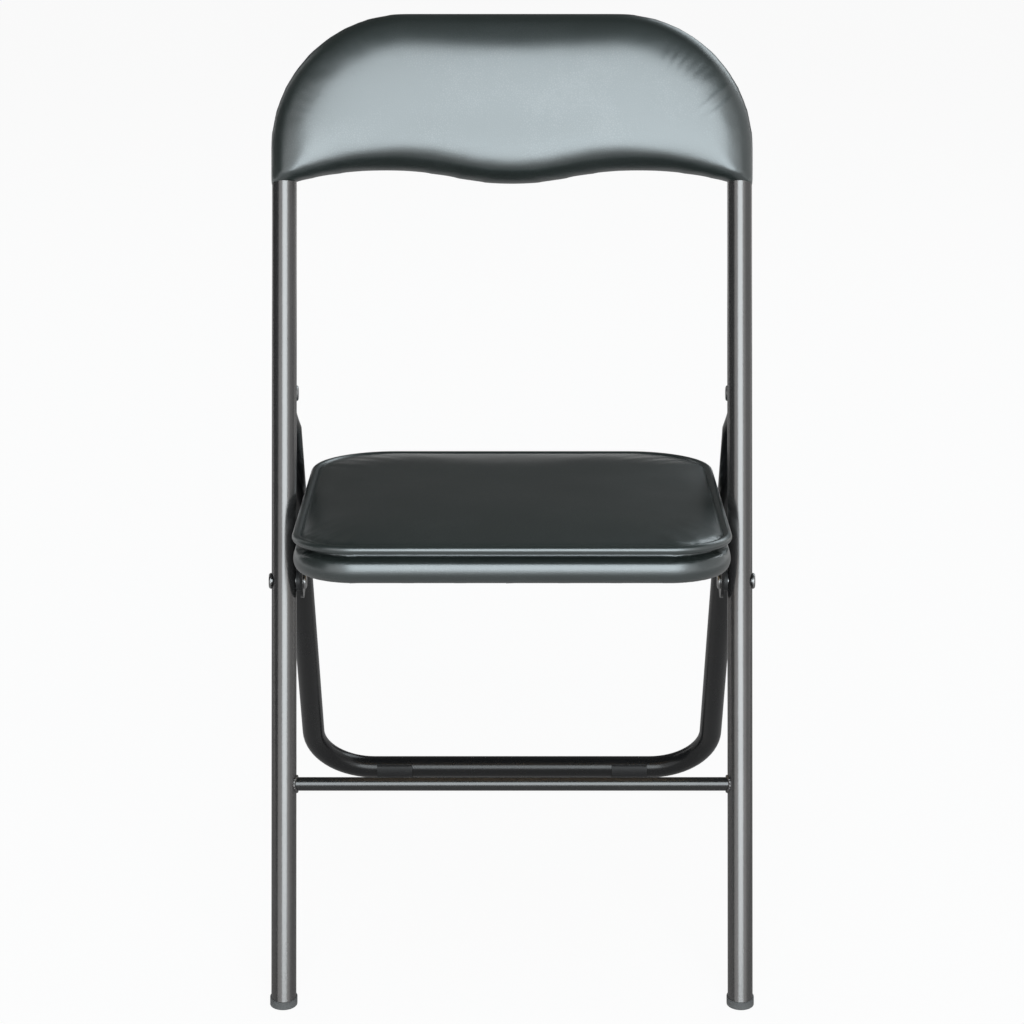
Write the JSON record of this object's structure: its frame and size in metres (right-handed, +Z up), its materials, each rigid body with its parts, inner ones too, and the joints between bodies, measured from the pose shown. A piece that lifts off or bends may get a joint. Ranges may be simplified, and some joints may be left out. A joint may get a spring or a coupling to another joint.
{
  "type": "folding chair",
  "caption": "Folding chair with a bent tube front frame, hinged rear U-frame, welted vinyl seat pad and a padded back sleeve over the top bend.",
  "frame": {"origin": "on the floor, under the centre of the open chair's bounding box", "axes": "+Z up, the sitter faces -Y, +X to the right of someone who looks at the chair's front"},
  "size_m": [0.4286, 0.5324, 0.8212],
  "materials": {
    "silver_paint": "satin silver-grey powder coat",
    "black_paint": "gloss black enamel",
    "vinyl": "black grained vinyl, satin gloss",
    "rubber": "matt dark grey",
    "plywood": "raw plywood",
    "nylon": "moulded black nylon",
    "zinc": "bright zinc plate"
  },
  "bodies": {
    "front": {"back_board": "plywood", "back_cover": "vinyl", "back_pad": "vinyl", "back_screws": "zinc", "front_foot_left": "rubber", "front_foot_right": "rubber", "front_frame": "silver_paint", "front_stretcher": "silver_paint", "hinge_clevis_left": "black_paint", "hinge_clevis_right": "black_paint", "hinge_rivet_left": "zinc", "hinge_rivet_right": "zinc", "seat_pivot_rivet_left": "zinc", "seat_pivot_rivet_right": "zinc", "seat_pivot_spacer_left": "nylon", "seat_pivot_spacer_right": "nylon"},
    "rear": {"rear_frame": "black_paint", "rear_glide_left": "rubber", "rear_glide_right": "rubber", "rest_pin_left": "zinc", "rest_pin_right": "zinc", "rest_washer_left": "nylon", "rest_washer_right": "nylon"},
    "seat": {"seat_board": "plywood", "seat_bracket_left": "black_paint", "seat_bracket_right": "black_paint", "seat_pad": "vinyl", "seat_screws": "zinc", "seat_welt": "vinyl"}
  },
  "joints": [
    {"name": "rear_fold", "type": "hinge", "parent": "front", "child": "rear", "pos_m": [0, -0.0101, 0.49692], "axis": [-1, 0, 0], "range_deg": [0, 48.51]},
    {"name": "seat_fold", "type": "hinge", "parent": "front", "child": "seat", "pos_m": [0, -0.09353, 0.34957], "axis": [1, 0, 0], "range_deg": [0, 76.3]}
  ],
  "couplings": [
    {"joint": "seat_fold", "follows": "rear_fold", "ratio": 1.5728}
  ]
}
